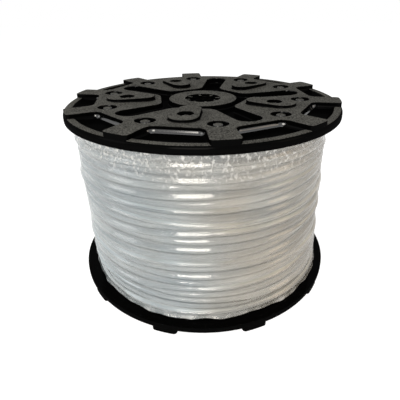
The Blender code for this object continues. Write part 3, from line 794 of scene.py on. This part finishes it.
# ------------------------------------------------------------------ stretch film
# A thin clear film is wound tight round the string to hold it. It crinkles where it is gathered under the
# upper flange, and its lower edge is a thin ragged roll on the lower flange.
FILM_AROUND = 240
FILM_UP = 190
FILM_THICKNESS = 0.0001
FILM_LEAN = 0.68                # steepest slope of the film where it sags between two turns
FILM_CLEARANCE = 0.0004         # between the film and the turns, and under the upper flange
FILM_SLACK = 0.5                # how much further the film stands off a bulge, by the bulge
HEM_HEIGHT = 0.006              # the hem spreads below this height on the winding
HEM_LEVEL = 0.0002              # least height of the film's lower edge over the gap at the flange
HEM_EDGE, HEM_SCALLOP, HEM_RIPPLE = 0.0012, 0.0010, 0.0006      # the edge's mean height, and two waves on it
HEM_LEAST = 0.0001
HEM_PRESSED = 0.6               # share of those heights that is left, as the film is pulled down
ROW_CROWDING = 1.05             # brings the film's rows of points a little closer together at the hem
HEM_REACH = 0.0016
# Waves of the hem's reach: size, how many go round the reel, and where they start.
HEM_WAVES = ((0.0008, 3, 0.4), (0.0007, 13, 1.1), (0.0006, 37, 0.0))
GATHER_HEIGHT = 0.030           # the film is gathered within this height of the upper flange
GATHER_REACH = 0.0008
CREASES = 10
CREASE_CLIMB = 160.0            # most radians that a crease's wave climbs by the metre
CREASE_SIZES = (0.0003, 0.0034, 0.0020)     # all over, added under the flange, and added at the hem
CRINKLED = 0.042                # crinkles painted white, as painted glints, begin this far under the upper flange
# The cool shades are painted on the reel's left and the warm ones on its right, as painted side light.
FILM_SHADES = ((0.28, 0.33, 0.36), (0.33, 0.30, 0.25))      # cool, and warm
FILM_LIGHTS = ((0.53, 0.57, 0.58), (0.61, 0.57, 0.50))
# White of the painted glints under the upper flange, and of the bunched film at the hem.
FILM_WHITE = (0.90, 0.89, 0.86)


def creases(angle, height):
    """The mean of folded sine waves, each the square of one less its size, which run their own ways round
    and up, ever finer and weaker."""
    chance = np.random.default_rng(3)
    total = np.zeros(np.broadcast(angle, height).shape)
    for number in range(CREASES):
        laps = chance.integers(3, 9) * (1 + number // 2)
        climb = chance.uniform(-1, 1) * CREASE_CLIMB * (1 + number // 2)
        wave = np.sin(laps * angle + climb * height + chance.uniform(0, 6.28))
        total += (1 - abs(wave)) ** 2 / (1 + number * 0.5)
    return total / CREASES


def film_over_turns(angle, height):
    """Where tight film lies over the outer layer. At each angle every turn has its height and radius there.
    The film runs straight from each turn's radius to the next one's, less a cosine sag of one steepest
    slope."""
    turn = (angle - START_ANGLE) / (2 * math.pi) % 1.0 + np.arange(TURNS)[:, None]
    at = turn * ROUND_STEPS
    steps = np.arange(len(string_path))
    turn_height = np.interp(at, steps, string_path[:, 2])
    turn_radius = np.interp(at, steps, np.hypot(*string_path[:, :2].T)) + STRING_RADIUS
    along = (height[:, None] - turn_height[:-1]) / (turn_height[1:] - turn_height[:-1])
    share = np.clip(along, 0, 1)
    radius = turn_radius[0] + (share * (turn_radius[1:] - turn_radius[:-1])).sum(1)
    gap = (((along > 0) & (along < 1)) * (turn_height[1:] - turn_height[:-1])).sum(1)
    return radius - FILM_LEAN * gap / (2 * math.pi) * (1 - np.cos(2 * math.pi * share.sum(1)))


def film_rings():
    """Tight over the turns, plus creases that grow under the upper flange and at the hem. The hem's height is
    a product of two sine waves plus a third, and it reaches out by a sum of sine waves round the reel."""
    angle = np.linspace(0, 2 * math.pi, FILM_AROUND, endpoint=False)
    share = np.linspace(0, 1, FILM_UP)[:, None]
    scallop = HEM_SCALLOP * np.sin(5 * angle + 1.0) * np.sin(11 * angle + 2.0)
    edge = HEM_EDGE + scallop + HEM_RIPPLE * np.sin(23 * angle)
    low = LOW_Z + HEM_LEVEL + np.clip(edge, HEM_LEAST, None) * HEM_PRESSED
    height = low + (HIGH_Z - FILM_CLEARANCE - low) * share ** ROW_CROWDING
    hem = np.clip(1 - (height - LOW_Z) / HEM_HEIGHT, 0, 1)
    gathered = np.clip(1 - (HIGH_Z - height) / GATHER_HEIGHT, 0, 1)
    reach = sum((size * np.sin(laps * angle + first) for size, laps, first in HEM_WAVES), HEM_REACH)
    radius = film_over_turns(angle, height) + FILM_CLEARANCE + FILM_SLACK * swell(angle, height)
    radius = radius + hem ** 2 * reach + gathered ** 2 * GATHER_REACH
    all_over, when_gathered, at_hem = CREASE_SIZES
    radius = radius + creases(angle, height) * (all_over + when_gathered * gathered + at_hem * hem)
    return np.stack([radius * np.cos(angle), radius * np.sin(angle), height + 0 * angle], 2)


def thin_film(start):
    """Glossy clear film. Seen through it the turns keep their warm and cool drift, with the painted side
    light, in broad soft bands. Under the upper flange, where it is gathered, its small crinkles are painted
    white as painted glints; at the hem small white crinkles show where it bunches."""
    at = start.node("TexCoord", output="Object")
    level = start.node("SeparateXYZ", {}, {0: at}, 2)
    top = ((level - (UPPER_FACE_Z - CRINKLED)) * 27.0).clamped()
    hem = ((LOWER_FACE_Z + HEM_HEIGHT - level) * 200.0).clamped()
    crease = start.noise(at, 90.0, 6.0, (1.0, 1.0, 0.5))
    fine = start.noise(at, 420.0, 3.0)
    # Painted glints: the crinkles under the upper flange are painted white; the white at the hem is where the
    # film bunches.
    crinkle_and_glint = (start.noise(at, 330.0, 2.0, (1.0, 1.0, 0.7)) * 5.0 - 2.4).clamped()
    haze = (crease * 2.4 - 0.95).clamped()
    warm_light_and_drift = side_light_and_drift(start, at)
    broad = (start.noise(at, 85.0, 3.0, (0.09, 0.09, 1.0)) * 3.2 - 1.1).clamped()
    clear = broad.mixed(warm_light_and_drift.mixed(*FILM_SHADES), warm_light_and_drift.mixed(*FILM_LIGHTS))
    relief = crinkle_and_glint * top * 1.6 + (crease + fine * 0.4) * (top * 2.0 + hem * 2.0 + 1.0)
    return {
        "Base Color": (crinkle_and_glint * top + haze * hem).clamped().mixed(clear, FILM_WHITE),
        "Roughness": fine * 0.10 + 0.08,
        "Specular IOR Level": 1.0,
        "Coat Weight": 1.0,
        "Coat Roughness": 0.10,
        "Coat IOR": 1.9,
        "Alpha": (haze * (hem * 0.3 + 0.10) + crinkle_and_glint * top * 0.45 + 0.34).clamped(),
        "Normal": start.bump(relief, 0.0006),
    }


film_finish = new_finish("clear_film_finish", thin_film)
sleeve = bpy.data.meshes.new("film_sleeve")
rings = film_rings()
index = np.arange(rings[..., 0].size).reshape(rings.shape[:2])
quads = np.stack([index[:-1], np.roll(index[:-1], -1, 1), np.roll(index[1:], -1, 1), index[1:]], 2)
sleeve.from_pydata(rings.reshape(-1, 3).tolist(), [], quads.reshape(-1, 4).tolist())
sleeve.shade_smooth()
film = new_piece("wrapped_film", sleeve, film_finish, "stretch_film")
skin = film.modifiers.new("thickness", "SOLIDIFY")
skin.thickness, skin.offset = FILM_THICKNESS, 0.0


# ------------------------------------------------------------------ studio
# The reel stands on a plain white floor under soft lamps, and is seen from close by and a little above.
# The floor and the sky look white to the camera, but light the reel only softly.
SOFT_SKY, SOFT_SKY_STRENGTH = (0.93, 0.97, 1.0, 1.0), 0.38
WHITE = (1.0, 1.0, 1.0, 1.0)
PALE_PAPER = (0.80, 0.80, 0.80, 1.0)
SEEN_PAPER = (0.45, 0.45, 0.45, 1.0)
SEEN_GLOW = 0.84                # light of its own that the seen paper has, so that its shadow stays pale
FLOOR_REACH = 6.0


def fill_tree(tree, output, shaders):
    """Soft light meets the first of two shaders; the camera, reflections and clear pieces see the second."""
    tree.nodes.clear()
    start = Shade(tree)
    seen = start.node("LightPath", output="Is Camera Ray") + start.node("LightPath", output="Is Glossy Ray")
    seen = (seen + start.node("LightPath", output="Is Transmission Ray")).clamped()
    for_light, for_view = shaders(start)
    mixed = start.node("MixShader", {}, {0: seen, 1: for_light, 2: for_view})
    tree.links.new(mixed.socket, tree.nodes.new(output).inputs["Surface"])


def sky(start):
    soft = start.node("Background", {}, {"Color": SOFT_SKY, "Strength": SOFT_SKY_STRENGTH})
    return soft, start.node("Background", {}, {"Color": WHITE, "Strength": 1.0})


def floor_paper(start):
    plain = start.node("BsdfDiffuse", {}, {"Color": PALE_PAPER})
    partly = start.node("BsdfDiffuse", {}, {"Color": SEEN_PAPER})
    glow = start.node("Emission", {}, {"Color": WHITE, "Strength": SEEN_GLOW})
    return plain, start.node("AddShader", {}, {0: partly, 1: glow})


world = bpy.data.worlds.new("studio")
world.use_nodes = True
fill_tree(world.node_tree, "ShaderNodeOutputWorld", sky)
bpy.context.scene.world = world

paper = bpy.data.materials.new("floor_paper")
paper.use_nodes = True
fill_tree(paper.node_tree, "ShaderNodeOutputMaterial", floor_paper)
floor_mesh = bpy.data.meshes.new("floor")
corners = FLOOR_REACH * np.array([(-1, -1, 0), (1, -1, 0), (1, 1, 0), (-1, 1, 0)])
floor_mesh.from_pydata(corners.tolist(), [], [(0, 1, 2, 3)])
floor_mesh.materials.append(paper)
floor = bpy.data.objects.new("floor", floor_mesh)
bpy.context.scene.collection.objects.link(floor)


def new_lamp(name, at, aim, size, power, colour=(1.0, 1.0, 1.0)):
    """A flat lamp of that width and height at a place, turned to face the aim."""
    light = bpy.data.lights.new(name, "AREA")
    light.shape = "RECTANGLE"
    light.size, light.size_y = size
    light.energy, light.color = power, colour
    lamp = bpy.data.objects.new(name, light)
    bpy.context.scene.collection.objects.link(lamp)
    away = np.array(at, float) - np.array(aim, float)
    away /= np.linalg.norm(away)
    right = np.cross((0.0, 0.0, 1.0), away)
    right /= np.linalg.norm(right)
    up = np.cross(away, right)
    stand = np.vstack([np.column_stack([right, up, away, at]), (0, 0, 0, 1)])
    lamp.matrix_world = Matrix(stand.tolist())
    return lamp


middle = (0.0, 0.0, 0.11)
new_lamp("key", (-0.205, -1.227, 0.80), (0.0, -0.12, 0.15), (0.66, 0.90), 14.0, (1.0, 0.95, 0.87))
new_lamp("left_fill", (-1.9, -0.6, 1.1), middle, (0.9, 1.4), 7.0, (1.0, 0.99, 0.96))
left_back = new_lamp("left_back", (-0.75, 0.40, 0.60), (-0.05, 0.0, 0.21), (0.5, 0.3), 3.6, (1.0, 0.98, 0.94))
left_back.visible_glossy = False    # it lifts the shade on the left, and leaves no reflection in the pockets
new_lamp("right_fill", (1.9, -0.8, 0.9), middle, (0.8, 1.2), 4.5, (1.0, 0.80, 0.58))
new_lamp("top", (0.2, 0.5, 1.9), middle, (1.2, 1.2), 4.0)

# The camera's numbers come from fitting it to the outlines of the two flanges.
IMAGE_SIDE = 400
FOCAL_PIXELS = 361.958
OPTICAL_CENTRE = (205.672, 167.149)
CAMERA_AT = (0.0, -0.41236, 0.30483)
CAMERA_PITCH, CAMERA_YAW, CAMERA_ROLL = 0.4204, 0.0059, -0.0108
SENSOR_WIDTH = 36.0

camera = bpy.data.cameras.new("camera")
camera.sensor_width = SENSOR_WIDTH
camera.lens = FOCAL_PIXELS * SENSOR_WIDTH / IMAGE_SIDE
camera.shift_x = (IMAGE_SIDE / 2 - OPTICAL_CENTRE[0]) / IMAGE_SIDE
camera.shift_y = (OPTICAL_CENTRE[1] - IMAGE_SIDE / 2) / IMAGE_SIDE
camera.clip_start = 0.01
across, forwards, down = math.sin(CAMERA_YAW), math.cos(CAMERA_YAW), math.sin(CAMERA_PITCH)
ahead = np.array([across * math.cos(CAMERA_PITCH), forwards * math.cos(CAMERA_PITCH), -down])
level_right = np.cross(ahead, (0.0, 0.0, 1.0))
level_right /= np.linalg.norm(level_right)
level_up = np.cross(level_right, ahead)
right = level_right * math.cos(CAMERA_ROLL) + level_up * math.sin(CAMERA_ROLL)
up = level_up * math.cos(CAMERA_ROLL) - level_right * math.sin(CAMERA_ROLL)
viewer = bpy.data.objects.new("camera", camera)
bpy.context.scene.collection.objects.link(viewer)
stand = np.vstack([np.column_stack([right, up, -ahead, CAMERA_AT]), (0, 0, 0, 1)])
viewer.matrix_world = Matrix(stand.tolist())
bpy.context.scene.camera = viewer
bpy.context.scene.view_settings.view_transform = "Standard"
